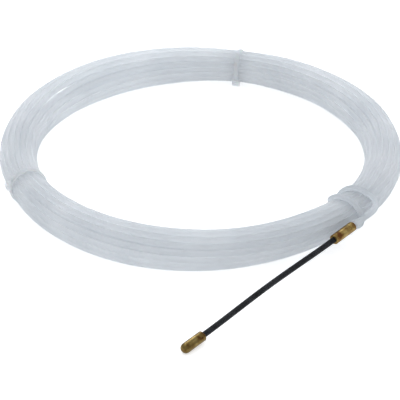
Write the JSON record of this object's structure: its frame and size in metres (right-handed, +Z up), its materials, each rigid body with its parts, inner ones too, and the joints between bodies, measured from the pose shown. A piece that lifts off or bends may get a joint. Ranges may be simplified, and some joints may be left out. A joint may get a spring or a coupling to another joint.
{
  "type": "fish tape",
  "caption": "Tied ring coil of plastic fish tape for drawing cables through conduit, with a flexible spring leader on its front end and a pulling eye on its tail.",
  "frame": {"origin": "centre of the ring, on the surface that the coil lies on", "axes": "+Z up, out of that surface and along the ring's own axis; -Y to the side where the leader lies, +Y to the pulling eye's side; the leader leaves the ring on the +X side"},
  "size_m": [0.278, 0.3593, 0.0298],
  "materials": {
    "tape": "translucent natural nylon, satin to glossy",
    "cable_ties": "natural nylon, satin",
    "brass": "turned, slightly tarnished",
    "black_spring": "black oxide on close-wound wire",
    "steel_core": "stranded steel cord"
  },
  "bodies": {
    "coil": {"tape_coil": "tape", "tape_lead": "tape", "tape_tail": "tape", "cable_tie_far": "cable_ties", "cable_tie_left": "cable_ties", "lead_ferrule": "brass", "tail_ferrule": "brass"},
    "leader_base": {"leader_socket": "brass", "leader_spring": "black_spring", "core_stop_rear": "steel_core"},
    "leader_middle": {"leader_core": "steel_core"},
    "leader_tip": {"leader_nose": "brass", "core_stop_front": "steel_core"},
    "tail_end": {"tail_eye": "brass"}
  },
  "joints": [
    {"name": "leader_unscrew", "type": "slide", "parent": "coil", "child": "leader_base", "axis": [-0.6886, -0.7216, -0.071], "range_m": [0, 0.008]},
    {"name": "leader_swing", "type": "hinge", "parent": "leader_base", "child": "leader_middle", "pos_m": [0.06344, -0.13479, 0.01068], "axis": [-0.049, -0.0513, 0.9975], "range_deg": [-35, 75], "stiffness_Nm_per_rad": 0.05, "deforming": ["leader_spring", "leader_core"]},
    {"name": "leader_lift", "type": "hinge", "parent": "leader_middle", "child": "leader_tip", "pos_m": [0.02199, -0.17823, 0.00641], "axis": [-0.7234, 0.6904, 0], "range_deg": [0, 75], "stiffness_Nm_per_rad": 0.05, "deforming": ["leader_spring", "leader_core"]},
    {"name": "tail_eye_unscrew", "type": "slide", "parent": "coil", "child": "tail_end", "axis": [-0.9994, -0.0349, 0], "range_m": [0, 0.008]}
  ]
}
